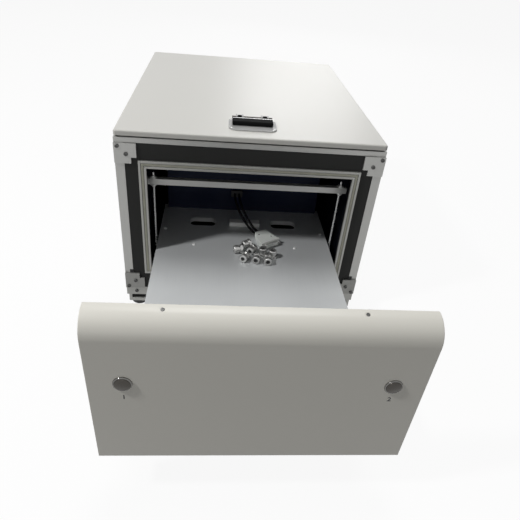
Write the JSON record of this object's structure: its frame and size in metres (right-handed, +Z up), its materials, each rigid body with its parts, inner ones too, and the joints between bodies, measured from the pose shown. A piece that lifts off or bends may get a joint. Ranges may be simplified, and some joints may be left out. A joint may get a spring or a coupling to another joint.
{
  "type": "shielded test box",
  "caption": "Bench-top box with a powered drawer: a flat tray and its door slide out of a sealed black chamber under a hinged lid with a folding handle.",
  "frame": {"origin": "on the bench under the middle of the whole object, drawer open", "axes": "+X to the right seen from the front, +Y towards the back, +Z up"},
  "size_m": [0.502, 1.0786, 0.4115],
  "materials": {
    "satin_aluminium": "satin anodised aluminium",
    "grey_paint": "light warm-grey satin paint",
    "black_sheet": "matt black coating",
    "black_rubber": "matt black rubber",
    "bright_steel": "bright plated steel",
    "dark_steel": "dark brushed steel",
    "nickel": "nickel plate",
    "tray_sheet": "plain grey aluminium sheet",
    "black_plastic": "black moulded plastic",
    "light_plastic": "light grey metallised plastic",
    "green_board": "green circuit board"
  },
  "bodies": {
    "cabinet": {"front_uprights": "satin_aluminium", "top_front_rail": "satin_aluminium", "bottom_front_rail": "satin_aluminium", "rear_frame": "satin_aluminium", "side_rails": "satin_aluminium", "side_panels": "grey_paint", "rear_panel": "grey_paint", "base_plate": "satin_aluminium", "base_spacers": "black_rubber", "feet": "black_rubber", "corner_brackets": "satin_aluminium", "frame_screws": "bright_steel", "front_plate": "black_sheet", "seal_rails_level": "satin_aluminium", "seal_rails_upright": "satin_aluminium", "chamber_plates": "black_sheet", "chamber_walls": "black_sheet", "chamber_rear_wall": "black_sheet", "chamber_bearers": "satin_aluminium", "crossbar": "satin_aluminium", "crossbar_posts": "bright_steel", "crossbar_nuts": "bright_steel", "slide_supports": "satin_aluminium", "outer_slides": "bright_steel", "cylinder_caps": "satin_aluminium", "cylinder_tube": "satin_aluminium", "solenoid_valve": "black_plastic", "board_standoffs": "bright_steel", "control_board": "green_board", "air_inlet": "nickel", "dc_inlet": "black_plastic", "lid_gasket": "black_rubber", "hinge_leaves": "bright_steel", "hinge_pins": "bright_steel"},
    "lid": {"lid": "grey_paint", "lid_leaves": "bright_steel", "handle_base": "bright_steel", "handle_screws": "bright_steel", "handle_pin": "bright_steel"},
    "handle": {"handle_grip": "black_plastic"},
    "drawer": {"tray": "tray_sheet", "drawer_screws": "bright_steel", "tray_back_panel": "black_sheet", "door_panel": "grey_paint", "door_back_plate": "satin_aluminium", "door_seal": "black_rubber", "inner_slides": "bright_steel", "cylinder_rod": "bright_steel", "rod_mount": "satin_aluminium", "button_bezels": "bright_steel", "button_nuts": "nickel", "lead_grommet": "black_rubber", "lead_rest": "light_plastic", "leads": "black_rubber", "plug_hood": "light_plastic", "plug_shell": "nickel", "loose_couplings": "nickel"},
    "middle_slides": {"middle_slides": "bright_steel"},
    "button_left": {"button_left": "dark_steel"},
    "button_right": {"button_right": "dark_steel"}
  },
  "joints": [
    {"name": "drawer_slide", "type": "slide", "parent": "cabinet", "child": "drawer", "axis": [0, 1, 0], "range_m": [0, 0.394]},
    {"name": "middle_slide", "type": "slide", "parent": "cabinet", "child": "middle_slides", "axis": [0, 1, 0], "range_m": [0, 0.197]},
    {"name": "lid_hinge", "type": "hinge", "parent": "cabinet", "child": "lid", "pos_m": [0, 0.5328, 0.388], "axis": [-1, 0, 0], "range_deg": [0, 95]},
    {"name": "handle_fold", "type": "hinge", "parent": "lid", "child": "handle", "pos_m": [0, -0.0147, 0.407], "axis": [-1, 0, 0], "range_deg": [0, 95]},
    {"name": "button_left_press", "type": "slide", "parent": "drawer", "child": "button_left", "axis": [0, 1, 0], "range_m": [0, 0.003], "stiffness_N_per_m": 400},
    {"name": "button_right_press", "type": "slide", "parent": "drawer", "child": "button_right", "axis": [0, 1, 0], "range_m": [0, 0.003], "stiffness_N_per_m": 400}
  ],
  "couplings": [
    {"joint": "middle_slide", "follows": "drawer_slide", "ratio": 0.5}
  ]
}
